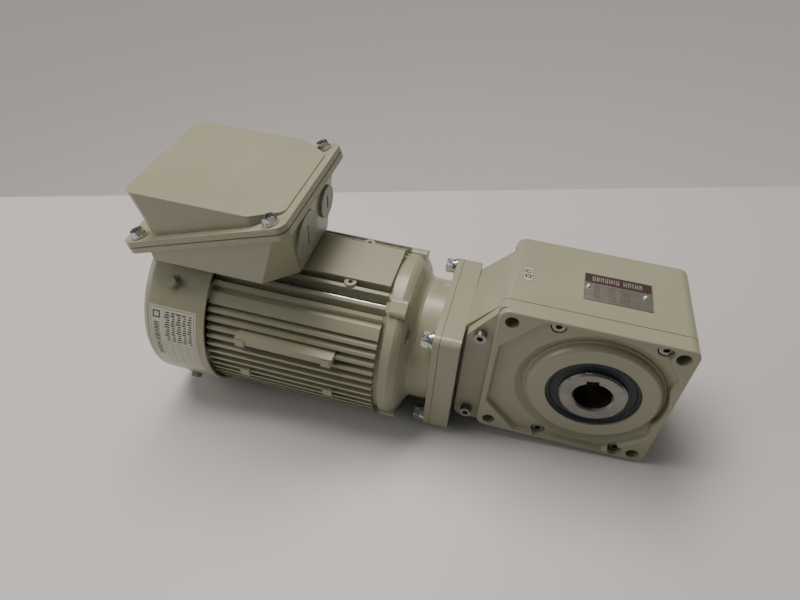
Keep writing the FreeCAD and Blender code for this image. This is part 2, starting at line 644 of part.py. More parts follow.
def frame_body():
    solid = rod_x(BODY_R, FRAME_X0, FRAME_X1)
    plates = []
    for side in (-1, 1):
        for k in range(13):
            h = FIN_R * math.sin(math.radians(33 - 6 * k))
            plates.append(side_plate(MOTOR_Z + h, 2.2, side))
        plates.append(side_plate(MOTOR_Z + 42.3, 6.6, side))
        for y, t in ((40.3, 2.0), (34.3, 2.0), (25.6, 2.2)):
            plates.append(sided(side, FIN_X0, FRAME_X1, y - t / 2, y + t / 2, MOTOR_Z, MOTOR_Z + 70))
        for y in (6.6, 13.2, 19.8, 26.4, 33.0, 39.6):
            plates.append(sided(side, FIN_X0, FRAME_X1, y - 1.1, y + 1.1, MOTOR_Z - 70, MOTOR_Z))
    plates.append(box(FIN_X0, FRAME_X1, -1.1, 1.1, MOTOR_Z - 70, MOTOR_Z))
    fins = plates[0].multiFuse(plates[1:]).common(rod_x(FIN_R, FIN_X0, FRAME_X1 - 3.0))
    fins = fins.cut(rod_x(60.3, FIN_X0 - 1, FRAME_X0))
    pad = box(FRAME_X0, FRAME_X1 - 3.5, -PAD_Y, PAD_Y, MOTOR_Z, PAD_Z)
    solid = solid.fuse([fins, pad, rod_x(60.0, FRAME_X1 - 4.0, FRAME_X1),
                        rod_x(58.0, FRAME_X0, FRAME_X0 + 5.0)])
    solid = solid.cut(box(FIN_X0 - 1, FRAME_X1 + 1, -70.0, 70.0, -100.0, BASE_Z))
    extras = []
    for side in (-1, 1):
        extras.append(rod_z(4.2, MOTOR_Z + 40, PAD_Z - 1.5, -174.5, side * 22.5))
        extras.append(sided(side, -182.0, -167.0, 18, 27, MOTOR_Z + 40, PAD_Z - 8.5))
        extras.append(sided(side, -245.5, -174.0, 50, 65.6, -3.4, 2.8))
        for x in (-242.0, -178.5):
            extras.append(sided(side, x - 3.4, x + 3.4, 50, 66.4, -5.0, 1.0))
            extras.append(sided(side, x - 3.4, x + 3.4, 45, 65.6, -37.0, -31.0))
    solid = solid.fuse(extras)
    cuts = [rod_x(FRAME_BORE_R, FRAME_X0 - 1, FRAME_X1 + 1),
            rod_z(9.0, 15.0, PAD_Z + 1, BOX_HOLE_X, 0)]
    for x, y in BOX_SCREWS:
        cuts.append(rod_z(1.65, PAD_Z - 7.5, PAD_Z + 1, x, y))
    for side in (-1, 1):
        cuts.append(rod_z(1.65, PAD_Z - 12, PAD_Z, -174.5, side * 22.5))
    for a in THROUGH_ANGLES:
        cuts.append(through_bolt_hole(a, FRAME_X0 - 1, FRAME_X1 + 1))
    return solid.cut(cuts)


def polar(r, degrees):
    """(y, z) at radius r and angle from +Y toward +Z about the motor axis."""
    a = math.radians(degrees)
    return r * math.cos(a), MOTOR_Z + r * math.sin(a)


def through_bolt_hole(a, x0, x1):
    y, z = polar(THROUGH_R, a)
    return rod_x(2.25, x0, x1, y, z)


save("stator_frame", frame_body())


def drive_bracket():
    outer = turn_x([(MOTOR_FLANGE_X, 0), (MOTOR_FLANGE_X, NECK_R), (-123.5, NECK_R), (-125.6, NECK_R + 1.2),
                    (-127.6, NECK_R + 4.2), (-129.4, NECK_R + 8.5), (-131.6, 58.5), (-134.0, 60.6),
                    (-136.5, BELL_R), (FRAME_X1, BELL_R), (FRAME_X1, 0)])
    plate = slab_x(rect(-FLANGE_HALF, FLANGE_HALF, MOTOR_Z - FLANGE_HALF, MOTOR_Z + FLANGE_HALF, 6),
                   MOTOR_FLANGE_X, JOINT_X)
    lugs = [lug(a, FRAME_X1, -131.5, 6.5, 45.0, FIN_R + 0.5) for a in THROUGH_ANGLES]
    spigots = [rod_x(38.0, MOTOR_FLANGE_X, JOINT_X + 6.0),
               ring_x(46.0, FRAME_BORE_R - 0.02, -145.5, FRAME_X1)]
    body = outer.fuse([plate] + lugs + spigots)
    r0, r1, x0, x1 = DRIVE_BEARING
    inside = turn_x([(-150.0, 0), (-150.0, 45.0), (-140.0, 45.0), (-131.0, 38.0), (-128.0, 28.0),
                     (-128.0, 0)])
    cuts = [inside, rod_x(r1, -128.5, x1), rod_x(13.0, x1 - 1, JOINT_X), rod_x(15.0, -105.0, JOINT_X + 7.0)]
    for y in (-FLANGE_BOLT, FLANGE_BOLT):
        for z in (-FLANGE_BOLT, FLANGE_BOLT):
            cuts.append(rod_x(3.3, MOTOR_FLANGE_X - 0.5, JOINT_X + 1, y, MOTOR_Z + z))
            cuts.append(rod_x(8.2, MOTOR_FLANGE_X - 20, MOTOR_FLANGE_X, y, MOTOR_Z + z))
    cuts += [through_bolt_hole(a, FRAME_X1 - 1, -134.0) for a in THROUGH_ANGLES]
    cuts.append(box(FRAME_X1 - 1, -125.0, -70.0, 70.0, -100.0, BASE_Z))
    return body.cut(cuts)


save("drive_bracket", drive_bracket())
save("motor_oil_seal", turn_x([(-105.0, 15.0), (-98.2, 15.0), (-98.2, 12.4), (-99.2, 11.4), (-99.2, 10.0),
                               (-98.5, 8.5 + LIP_GAP), (-102.0, 8.5 + LIP_GAP), (-103.2, 10.4),
                               (-105.0, 13.0)]))

bolts = []
washers = []
for y in (-FLANGE_BOLT, FLANGE_BOLT):
    for z in (-FLANGE_BOLT, FLANGE_BOLT):
        x = MOTOR_FLANGE_X
        washers.append(rod_x(6.2, x - 1.4, x, y, MOTOR_Z + z).cut(rod_x(3.3, x - 2, x, y, MOTOR_Z + z)))
        spring = rod_x(5.2, x - 3.4, x - 1.4, y, MOTOR_Z + z).cut(rod_x(3.3, x - 4, x, y, MOTOR_Z + z))
        gap = box(x - 4, x, y, y + 7, MOTOR_Z + z - 0.5, MOTOR_Z + z + 0.5)
        gap.rotate(V(x - 2.4, y, MOTOR_Z + z), Z, 15)
        washers.append(spring.cut(gap))
        head = hex_head(10.0, 4.6, V(x - 3.4, y, MOTOR_Z + z), V(-1, 0, 0))
        bolts.append(head.fuse(rod_x(2.5, x - 3.4, CASE_FLANGE_X - 3.0, y, MOTOR_Z + z)))
save("flange_bolts", *bolts)
save("flange_washers", *washers)


def rear_bracket():
    r0, r1, x0, x1 = FAN_BEARING
    body = turn_x([(-272.0, 0), (-272.0, 24.0), (-270.8, 40.0), (-270.8, 60.0),
                   (FRAME_X0, 60.0), (FRAME_X0, FRAME_BORE_R - 0.02), (-262.0, FRAME_BORE_R - 0.02),
                   (-262.0, 44.0), (-263.5, 30.0), (-258.0, 22.0), (x1, 22.0), (x1, 0)])
    arms = []
    for a in COWL_BOLT_ANGLES:
        arms.append(lug(a, -309.0, -270.0, 6.0, 57.6, COWL_R - COWL_T - 0.1))
    body = body.fuse(arms)
    cuts = [rod_x(r1, x0 - 1.5, x1 + 1), rod_x(9.5, -280.0, x1)]
    for a in COWL_BOLT_ANGLES:
        y, z = polar(56.0, a)
        d = V(0, y, z - MOTOR_Z)
        d.normalize()
        cuts.append(Part.makeCylinder(2.5, 15.0, V(COWL_BOLT_X, y, z), d))
    cuts += [through_bolt_hole(a, -280.0, FRAME_X0 + 1) for a in THROUGH_ANGLES]
    cuts += [rod_x(5.2, -310.0, -270.0, *polar(THROUGH_R, a)) for a in THROUGH_ANGLES]
    return body.cut(cuts)


save("rear_bracket", rear_bracket())
tie = []
for a in THROUGH_ANGLES:
    y, z = polar(THROUGH_R, a)
    head = hexagon(7.0, 3.0, V(-270.0, y, z), V(-1, 0, 0))
    tie.append(head.fuse(rod_x(2.2, -270.0, -135.0, y, z)))
save("through_bolts", *tie)

# ---------------------------------------------------------------- fan and cowl

bore = FAN_BEARING[0]
fan = turn_x([(-286.0, bore), (-286.0, 14.0), (-298.0, 18.0), (-298.0, 50.0), (-300.0, 50.0),
              (-300.0, bore)])
blades = []
for i in range(9):
    blade = box(-299.0, -282.0, 20.0, 50.0, MOTOR_Z - 1.0, MOTOR_Z + 1.0)
    blade = blade.cut(box(-290.0, -281.0, 44.0, 51.0, MOTOR_Z - 2, MOTOR_Z + 2))
    blade.rotate(V(0, 0, MOTOR_Z), X, 40 * i)
    blades.append(blade)
hub_flat = box(-300.0, -286.0, -6.0, 6.0, MOTOR_Z + 6.0, MOTOR_Z + 7.5).common(rod_x(bore, -300.0, -286.0))
save("fan", fan.fuse(blades + [hub_flat]))
clip = ring_x(6.6, 9.5, -302.5, -301.5).cut(box(-303, -301, -1.5, 1.5, MOTOR_Z, MOTOR_Z + 12))
save("fan_clip", clip)


def fan_cowl():
    t = COWL_T
    bend = 6.5

    def corner(radius):
        x = COWL_X0 + bend
        r = COWL_R - bend
        turns = [math.radians(a) for a in range(0, 91, 15)]
        return [(x - radius * math.cos(a), r + radius * math.sin(a)) for a in turns]

    shell = turn_x([(COWL_X0, 0)] + corner(bend) + [(COWL_X1, COWL_R), (COWL_X1, COWL_R - t)]
                   + corner(bend - t)[::-1] + [(COWL_X0 + t, 0)])
    cuts = []
    for r in (20.0, 29.0, 38.0, 47.0, 56.0):
        ring = ring_x(r - 2.6, r + 2.6, COWL_X0 - 1, COWL_X0 + 3)
        spokes = []
        for i in range(4):
            spoke = box(COWL_X0 - 2, COWL_X0 + 4, 0, 70, MOTOR_Z - 3.0, MOTOR_Z + 3.0)
            spoke.rotate(V(0, 0, MOTOR_Z), X, 90 * i + 45)
            spokes.append(spoke)
        cuts.append(ring.cut(spokes))
    for a in COWL_BOLT_ANGLES:
        y, z = polar(60.0, a)
        d = V(0, y, z - MOTOR_Z)
        d.normalize()
        cuts.append(Part.makeCylinder(2.8, 15.0, V(COWL_BOLT_X, y, z), d))
    return shell.cut(cuts)


save("fan_cowl", fan_cowl())
bolts = []
for a in COWL_BOLT_ANGLES:
    y, z = polar(1.0, a)
    d = V(0, y, z - MOTOR_Z)
    o = V(COWL_BOLT_X, 0, MOTOR_Z)
    washer = Part.makeCylinder(5.4, 0.9, o.add(V(d).multiply(COWL_R + 0.2)), d)
    head = hex_head(8.0, 3.6, o.add(V(d).multiply(COWL_R + 1.1)), d)
    shank = Part.makeCylinder(2.45, 12.0, o.add(V(d).multiply(COWL_R - 10.5)), d)
    bolts.append(washer.fuse([head, shank]))
save("cowl_bolts", *bolts)

# ---------------------------------------------------------------- terminal box

TILT = FreeCAD.Placement(V(BOX_X, 0, BOX_Z), FreeCAD.Rotation(Y, -BOX_TILT))


def tilted(shape):
    copy = shape.copy()
    copy.Placement = TILT.multiply(copy.Placement)
    return copy


def rim(w0, w1, inset=0.0, r=7.0):
    u = BOX_FLANGE_U - inset
    v = BOX_FLANGE_V - inset
    return tilted(slab_z(rect(-u, u, -v, v, r), w0, w1))


def tub(z0, z1, inset):
    """Base body: bevelled at the drive end and widening upward."""

    def ring(z):
        k = (z - 40.5) / 52.0
        side = 46.0 + 4.0 * k - inset
        nose = 26.5 + 18.5 * k - inset * 0.6
        bevel = -229.0 + 16.0 * k - inset * 0.4
        back = -309.0 - 4.0 * k + inset
        front = PLUG_X - inset
        pts = [V(front, -nose, z), V(front, nose, z), V(bevel, side, z), V(back, side, z),
               V(back, -side, z), V(bevel, -side, z)]
        return Part.makePolygon(pts + [pts[0]])

    return Part.makeLoft([ring(z0), ring(z1)], True, True)


def screw_spots():
    return [(u, v) for u in (-LID_SCREW_U, LID_SCREW_U) for v in (-LID_SCREW_V, LID_SCREW_V)]


def above(w):
    """Everything over the parting plane shifted by w."""
    return tilted(Part.makeBox(260, 260, 200, V(-130, -130, w)))


def box_base():
    body = tub(40.5, 98.0, 0).cut(above(-1.0))
    body = body.fuse(rim(-5.0, -1.0))
    inside = tub(44.0, 100.0, 3.0)
    inside = inside.cut(rod_x(COWL_R + 5.0, -330.0, -264.0))
    keep = [rod_z(4.5, 40.0, 46.0, x, y) for x, y in BOX_SCREWS]
    keep += [tilted(rod_z(6.0, -20.0, 1.0, u, v)) for u, v in screw_spots()]
    body = body.cut(inside.cut(keep))
    cuts = [rod_x(COWL_R + 1.5, -330.0, -266.5), rod_z(9.0, 40.0, 45.0, BOX_HOLE_X, 0), above(-1.0)]
    cuts += [tilted(rod_z(2.1, -6.0, 0.0, u, v)) for u, v in screw_spots()]
    cuts += [rod_z(2.2, 40.0, 50.0, x, y) for x, y in BOX_SCREWS]
    cuts += [rod_x(r, PLUG_X - 6.0, PLUG_X + 1.0, y, z) for r, y, z in PLUGS]
    cuts += [rod_z(1.65, 40.6, 50.0, x, y) for x, y in BLOCK_SCREWS]
    return body.cut(cuts)


def lid_dome(inset, w0, top, r):
    """Raised part of the lid under a level roof, cut back at the drive end's two screws."""
    u0, u1, u2 = -41.0 + inset, 38.2 - inset * 0.3, 57.0 - inset
    v1, v2 = 49.0 - inset, 36.5 - inset * 0.5
    pts = [(u0, -v1, r), (u1, -v1, r), (u2, -v2, r), (u2, v2, r), (u1, v1, r), (u0, v1, r)]
    return tilted(slab_z(pts, w0, 60.0)).cut(box(-400.0, -150.0, -80.0, 80.0, top, top + 80.0))


def box_lid():
    outer = lid_dome(0.0, 2.0, LID_TOP_Z, 6.0)
    inner = lid_dome(2.5, -1.0, LID_TOP_Z - 2.5, 3.5)
    body = outer.fuse(rim(0.0, BOX_FLANGE_T))
    body = body.cut(inner)
    pads = [tilted(rod_z(5.6, BOX_FLANGE_T - 1.0, BOX_FLANGE_T + 0.8, u, v)) for u, v in screw_spots()]
    body = body.fuse(pads)
    return body.cut([tilted(rod_z(2.8, -1.0, 8.0, u, v)) for u, v in screw_spots()])


save("terminal_box_base", box_base())
save("terminal_box_lid", box_lid())
gasket = rim(-1.0, 0.0, 0.6).cut(rim(-2.0, 1.0, 12.0, 4.0))
save("lid_gasket", gasket.cut([tilted(rod_z(2.8, -2.0, 1.0, u, v)) for u, v in screw_spots()]))
seat = slab_z(rect(-264.0, -212.0, -19.5, 19.5, 3), PAD_Z, 40.5)
seat = seat.cut([rod_z(2.2, 39.0, 41.0, x, y) for x, y in BOX_SCREWS])
seat = seat.cut(rod_z(9.0, 39.0, 41.0, BOX_HOLE_X, 0))
save("seat_gasket", seat)


def cross(size, width, z0, z1, x, y):
    return [box(x - size, x + size, y - width, y + width, z0, z1),
            box(x - width, x + width, y - size, y + size, z0, z1)]


def pan_screw(x, y, z, r, shank, tip):
    """Pan-head cross-recess screw along Z, seated at z, ending at tip."""
    head = rod_z(r, z, z + 2.6, x, y).cut(cross(r * 0.55, 0.4, z + 1.6, z + 3, x, y))
    return head.fuse(rod_z(shank, tip, z, x, y))


top = BOX_FLANGE_T + 0.8
screws = []
for u, v in screw_spots():
    washer = rod_z(4.9, top, top + 0.9, u, v)
    head = hex_head(8.0, 3.6, V(u, v, top + 0.9), Z)
    one = washer.fuse([head, rod_z(2.05, -4.9, top, u, v)])
    screws.append(tilted(one.cut(cross(2.4, 0.55, top + 2.6, top + 5, u, v))))
save("lid_screws", *screws)
save("box_screws", *[pan_screw(x, y, 46.0, 3.6, 1.6, PAD_Z - 6.5) for x, y in BOX_SCREWS])
save("block_screws", *[pan_screw(x, y, 54.0, 2.8, 1.6, 41.0) for x, y in BLOCK_SCREWS])

for (r, y, z), name in zip(PLUGS, ("entry_plug_large", "entry_plug_small")):
    cap = rod_x(r + 1.6, PLUG_X, PLUG_X + 2.2, y, z)
    cap = cap.fuse(rod_x(r, PLUG_X - 5.0, PLUG_X, y, z))
    cap = cap.cut([box(PLUG_X + 1.2, PLUG_X + 3, y - 1.0, y + 1.0, z - 0.5 * r, z + 0.5 * r),
                   rod_x(r - 2.5, PLUG_X - 6, PLUG_X - 1.5, y, z)])
    save(name, cap)

block = slab_z(rect(-263.2, -215.2, -9.2, 9.2, 2), 44.0, 54.0)
walls = [box(x - 1.2, x + 1.2, -9.2, 9.2, 54.0, 60.0) for x in (-255.5, -242.0, -226.5)]
block = block.fuse(walls).cut([rod_z(1.7, 43.0, 70.0, x, y) for x, y in BLOCK_SCREWS])
block = block.cut([rod_z(2.0, 43.0, 70.0, x, 0) for x in STUDS])
block = block.cut(rod_z(9.5, 43.0, 50.0, BOX_HOLE_X, 0))
save("terminal_block", block)
studs = []
nuts = []
for x in STUDS:
    studs.append(rod_z(1.95, 45.0, 64.0, x, 0))
    nuts.append(hexagon(7.0, 2.8, V(x, 0, 55.4), Z).cut(rod_z(1.95, 55, 60, x, 0)))
    nuts.append(rod_z(4.4, 54.0, 55.4, x, 0).cut(rod_z(1.95, 53, 56, x, 0)))
save("terminal_studs", *studs)
save("terminal_nuts", *nuts)

# ---------------------------------------------------------------- nameplate

x0, x1, y0, y1 = PLATE
plate = slab_z(rect(x0, x1, y0, y1, 0.8), 0, 0.5)
rivets = []
for x in RIVETS:
    plate = plate.cut(rod_z(1.3, -1, 1, x, 0))
    dome = Part.makeSphere(2.2, V(x, 0, -0.4)).common(rod_z(3.0, 0.5, 3, x, 0))
    rivets.append(on_top(dome.fuse(rod_z(1.25, -4.0, 0.6, x, 0))))
save("nameplate", on_top(plate))
save("nameplate_rivets", *rivets)
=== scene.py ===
# Looks for the right-angle gearmotor: enamelled castings, zinc-plated screws, rubber seals,
# printed labels, on a pale bench above a plain ground. Metres, in the CAD frame.
import math
import bpy
from mathutils import Matrix, Vector


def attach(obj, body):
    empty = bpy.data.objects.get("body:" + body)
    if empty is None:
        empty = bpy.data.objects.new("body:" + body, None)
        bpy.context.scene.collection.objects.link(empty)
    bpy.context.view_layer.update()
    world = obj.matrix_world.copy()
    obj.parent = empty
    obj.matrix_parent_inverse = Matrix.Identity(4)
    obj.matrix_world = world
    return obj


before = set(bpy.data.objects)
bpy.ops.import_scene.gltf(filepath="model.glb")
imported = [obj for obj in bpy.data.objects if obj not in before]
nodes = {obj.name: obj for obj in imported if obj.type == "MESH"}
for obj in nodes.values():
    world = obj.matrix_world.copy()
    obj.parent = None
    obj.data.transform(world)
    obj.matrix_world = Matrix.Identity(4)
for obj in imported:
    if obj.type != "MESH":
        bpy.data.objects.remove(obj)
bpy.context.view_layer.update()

MM = 0.001
MOTOR_Z = -23.0 * MM          # motor axis height
COWL_R = 68.0 * MM
CASE_TOP = 58.04 * MM         # top of the case at its middle
CASE_DRAFT = 0.0235           # it falls by this much per unit toward +Y
FLANGE_HALF = 47.0 * MM       # square flanges between motor and case
FLANGE_CORNER = 6.0 * MM
JOINT_X = -105.0 * MM         # plane where they meet
PLATE_X = (-22.0 * MM, 21.5 * MM)
PLATE_Y = (-13.6 * MM, 13.6 * MM)
LABEL_U = 36.2 * MM           # rating label, along the motor and round it
LABEL_V = 60.0 * MM
STROKE = 0.6 * MM             # pale strokes of the nameplate heading
HEADING = 0.7 * MM            # dark strokes of the label heading


# ------------------------------------------------------------ material helpers

class Shader:
    """A principled material with a few shortcuts for wiring its pattern nodes."""

    def __init__(self, name):
        self.m = bpy.data.materials.new(name)
        self.m.use_nodes = True
        self.t = self.m.node_tree
        self.p = self.t.nodes["Principled BSDF"]
        self.coords = self.new("ShaderNodeTexCoord").outputs["Object"]

    def new(self, kind, inputs=None, **props):
        n = self.t.nodes.new(kind)
        for key, value in props.items():
            setattr(n, key, value)
        for key, value in (inputs or {}).items():
            self.put(n.inputs[key], value)
        return n

    def put(self, socket, value):
        if isinstance(value, bpy.types.NodeSocket):
            self.t.links.new(value, socket)
        else:
            socket.default_value = value

    def set(self, **values):
        for key, value in values.items():
            self.put(self.p.inputs[key.replace("_", " ")], value)
        return self

    def noise(self, scale, detail=4.0, rough=0.5, at=None):
        n = self.new("ShaderNodeTexNoise", {"Scale": scale, "Detail": detail, "Roughness": rough,
                                            "Vector": at or self.coords})
        return n.outputs["Fac"]

    def spread(self, fac, low, high, a=0.3, b=0.7):
        """Maps a pattern from a..b onto low..high, numbers or colours."""
        n = self.new("ShaderNodeValToRGB", {"Fac": fac})
        for e, pos, value in zip(n.color_ramp.elements, (a, b), (low, high)):
            e.position = pos
            e.color = (value, value, value, 1) if isinstance(value, float) else (*value, 1)
        return n.outputs["Color"]

    def shifted(self, x=0.0, y=0.0, z=0.0, scale=(1, 1, 1)):
        n = self.new("ShaderNodeMapping", {"Vector": self.coords, "Location": (x, y, z), "Scale": scale})
        return n.outputs["Vector"]

    def bands(self, kind, direction, scale, at=None, distortion=0.0):
        n = self.new("ShaderNodeTexWave", {"Scale": scale, "Distortion": distortion, "Detail": 2.0,
                                           "Detail Scale": 1.5, "Vector": at or self.coords},
                     wave_type=kind)
        setattr(n, "rings_direction" if kind == "RINGS" else "bands_direction", direction)
        return n.outputs["Fac"]

    def bump(self, height, strength, depth, normal=None):
        n = self.new("ShaderNodeBump", {"Height": height, "Strength": strength, "Distance": depth})
        if normal is not None:
            self.put(n.inputs["Normal"], normal)
        return n.outputs["Normal"]

    def soft_edges(self, radius):
        return self.new("ShaderNodeBevel", {"Radius": radius}, samples=4).outputs["Normal"]


def shade(base, k):
    return tuple(c * k for c in base)


def enamel(name, base, grain, depth, radius=0.0006, rough=(0.27, 0.40)):
    """Sprayed enamel: orange peel of the given grain, slight colour drift and a soft clear gloss."""
    s = Shader(name)
    drift = s.noise(14.0, 3.0)
    mottle = s.noise(160.0, 5.0, 0.6)
    tone = s.new("ShaderNodeMix", {"Factor": s.spread(mottle, 0.0, 0.35),
                                   "A": s.spread(drift, shade(base, 0.95), shade(base, 1.04)),
                                   "B": (*shade(base, 0.93), 1)}, data_type="RGBA")
    peel = s.noise(grain, 2.0, 0.45)
    n = s.bump(peel, 0.35, depth, s.soft_edges(radius))
    pits = s.noise(grain * 3.1, 3.0, 0.7)
    n = s.bump(pits, 0.2, depth * 0.4, n)
    colour = [o for o in tone.outputs if o.type == "RGBA"][0]
    s.set(Base_Color=colour, Roughness=s.spread(drift, *rough), Normal=n, Coat_Weight=0.22,
          Coat_Roughness=0.16)
    return s.m


def plated(name, base, rough, scratch, metal=1.0):
    s = Shader(name)
    cloud = s.noise(420.0, 4.0, 0.6)
    lines = s.noise(900.0, 2.0, 0.5, s.shifted(scale=(0.15, 1.0, 1.0)))
    n = s.bump(lines, scratch, 0.00004, s.soft_edges(0.0002))
    s.set(Base_Color=s.spread(cloud, shade(base, 0.8), base), Metallic=metal,
          Roughness=s.spread(cloud, rough, rough + 0.16), Normal=n)
    return s.m


def turned(name, base, axis, z=0.0, pitch=1500.0, rough=0.24):
    """Steel cut on a lathe: fine rings about the given axis at height z."""
    s = Shader(name)
    at = s.shifted(z=-z)
    rings = s.bands("RINGS", axis, pitch, at, 0.6)
    along = s.bands("BANDS", axis, pitch * 0.8, at, 0.4)
    stain = s.noise(60.0, 5.0, 0.65)
    n = s.bump(along, 0.12, 0.00003, s.bump(rings, 0.18, 0.00003, s.soft_edges(0.0003)))
    s.set(Base_Color=s.spread(stain, shade(base, 0.72), base), Metallic=0.92,
          Roughness=s.spread(stain, rough + 0.14, rough), Normal=n)
    return s.m


def moulded(name, base, rough, grain=900.0, depth=0.00005, radius=0.0004):
    """Rubber or moulded plastic with a fine skin and slight bloom."""
    s = Shader(name)
    bloom = s.noise(45.0, 4.0, 0.6)
    skin = s.noise(grain, 3.0, 0.6)
    n = s.bump(skin, 0.3, depth, s.soft_edges(radius))
    s.set(Base_Color=s.spread(bloom, base, shade(base, 1.45)), Roughness=s.spread(skin, rough, rough + 0.12),
          Normal=n)
    return s.m


def brushed(name, base, scale, rough=0.3, metal=1.0, strength=0.25):
    """Metal or foil brushed along one direction, given by the smallest of the three scales."""
    s = Shader(name)
    hair = s.noise(1.0, 3.0, 0.6, s.shifted(scale=scale))
    blotch = s.noise(90.0, 3.0)
    n = s.bump(hair, strength, 0.00003)
    s.set(Base_Color=s.spread(blotch, shade(base, 0.9), base), Metallic=metal,
          Roughness=s.spread(hair, rough, rough + 0.15), Normal=n)
    return s.m


def striped(name, base, gap, kind, axis, scale, metal, rough, depth, z=0.0):
    """Stacked sheets or wound wire: a band pattern in colour and relief."""
    s = Shader(name)
    w = s.bands(kind, axis, scale, s.shifted(z=-z), 0.8)
    n = s.bump(w, 0.5, depth)
    s.set(Base_Color=s.spread(w, gap, base), Metallic=metal, Roughness=s.spread(w, rough + 0.2, rough),
          Normal=n)
    return s.m


# ------------------------------------------------------------ materials of the CAD nodes

ENAMEL = (0.362, 0.353, 0.240)
cast = enamel("enamel_cast", ENAMEL, 620.0, 0.00022, 0.0008)
sheet = enamel("enamel_sheet", ENAMEL, 900.0, 0.00008, 0.0006, (0.24, 0.34))
finned = enamel("enamel_extruded", shade(ENAMEL, 0.98), 700.0, 0.00012, 0.0004, (0.30, 0.42))
zinc = plated("bright_zinc", (0.60, 0.62, 0.64), 0.16, 0.2)
dark_zinc = plated("socket_zinc", (0.34, 0.34, 0.31), 0.24, 0.2)
painted = enamel("painted_screws", shade(ENAMEL, 0.85), 1400.0, 0.00006, 0.0003, (0.30, 0.42))
ground = plated("ground_steel", (0.50, 0.51, 0.52), 0.22, 0.3)
gear_steel = plated("gear_steel", (0.42, 0.41, 0.40), 0.24, 0.35)
bearing_steel = plated("bearing_steel", (0.70, 0.71, 0.72), 0.1, 0.1)
silver = plated("cast_aluminium", (0.62, 0.63, 0.63), 0.35, 0.4)
brass = plated("brass", (0.72, 0.52, 0.22), 0.22, 0.2)
bore_steel = turned("turned_steel_output", (0.30, 0.285, 0.27), "Y", 0.0, rough=0.22)
rotor_steel = turned("turned_steel_rotor", (0.55, 0.54, 0.53), "X", MOTOR_Z)
seal = moulded("seal_rubber", (0.010, 0.015, 0.024), 0.30, 700.0)
gasket = moulded("gasket_rubber", (0.030, 0.030, 0.028), 0.55)
plug = moulded("plug_plastic", (0.235, 0.245, 0.195), 0.36, 1100.0, 0.00003)
block = moulded("block_plastic", (0.045, 0.032, 0.024), 0.38)
fan = moulded("fan_plastic", (0.028, 0.028, 0.030), 0.42)
lamination = striped("lamination", (0.32, 0.33, 0.35), (0.10, 0.10, 0.11), "BANDS", "X", 500.0, 0.9, 0.35,
                     0.00005)
copper = striped("varnished_wire", (0.62, 0.24, 0.09), (0.20, 0.06, 0.02), "RINGS", "X", 320.0, 0.8, 0.28,
                 0.0002, MOTOR_Z)
plate = brushed("plate_aluminium", (0.46, 0.425, 0.355), (40.0, 2600.0, 900.0), 0.34)

LOOKS = {
    cast: ["gear_case", "front_cover", "drive_bracket", "rear_bracket"],
    finned: ["stator_frame"],
    sheet: ["fan_cowl", "terminal_box_base", "terminal_box_lid", "lid_gasket"],
    zinc: ["flange_bolts", "flange_washers", "lid_screws", "box_screws", "block_screws",
           "through_bolts"],
    dark_zinc: ["cover_screws"],
    painted: ["cowl_bolts"],
    ground: ["dowel_pins", "output_gear_key", "wave_washer", "fan_clip"],
    gear_steel: ["output_gear", "intermediate_shaft", "hypoid_gear"],
    bearing_steel: ["output_bearing_inner", "output_bearing_outer", "output_bearing_balls",
                    "mid_bearing_inner", "mid_bearing_outer", "mid_bearing_balls",
                    "motor_bearing_inner", "motor_bearing_outer", "motor_bearing_balls"],
    silver: ["rotor_end_rings", "nameplate_rivets"],
    brass: ["terminal_studs", "terminal_nuts"],
    bore_steel: ["hollow_shaft"],
    rotor_steel: ["rotor_shaft"],
    seal: ["oil_seal_front", "oil_seal_rear", "motor_oil_seal"],
    gasket: ["case_gasket", "seat_gasket"],
    plug: ["entry_plug_large", "entry_plug_small"],
    block: ["terminal_block"],
    fan: ["fan"],
    lamination: ["rotor_core", "stator_core"],
    copper: ["stator_winding"],
    plate: ["nameplate"],
}
for material, names in LOOKS.items():
    for name in names:
        mesh = nodes[name].data
        mesh.materials.clear()
        mesh.materials.append(material)

# ------------------------------------------------------------ printed pieces


def film(name, base, rough, metal=0.0):
    """Printed film or ink: faint fibre in its colour and sheen."""
    s = Shader(name)
    fibre = s.noise(1300.0, 4.0, 0.6)
    age = s.noise(35.0, 3.0)
    n = s.bump(fibre, 0.08, 0.00002)
    s.set(Base_Color=s.spread(age, shade(base, 0.93), base), Metallic=metal,
          Roughness=s.spread(fibre, rough, rough + 0.1), Normal=n)
    return s.m


cream = film("label_film", (0.64, 0.620, 0.505), 0.36)
white = film("sticker_film", (0.50, 0.48, 0.385), 0.4)
ink = film("black_ink", (0.030, 0.029, 0.027), 0.4)
grey_ink = film("grey_ink", (0.13, 0.12, 0.10), 0.4)
maroon = film("maroon_ink", (0.062, 0.034, 0.028), 0.36)
bright = film("bare_band", (0.50, 0.46, 0.42), 0.3, 0.6)
sealant = film("joint_sealant", (0.135, 0.100, 0.050), 0.45)


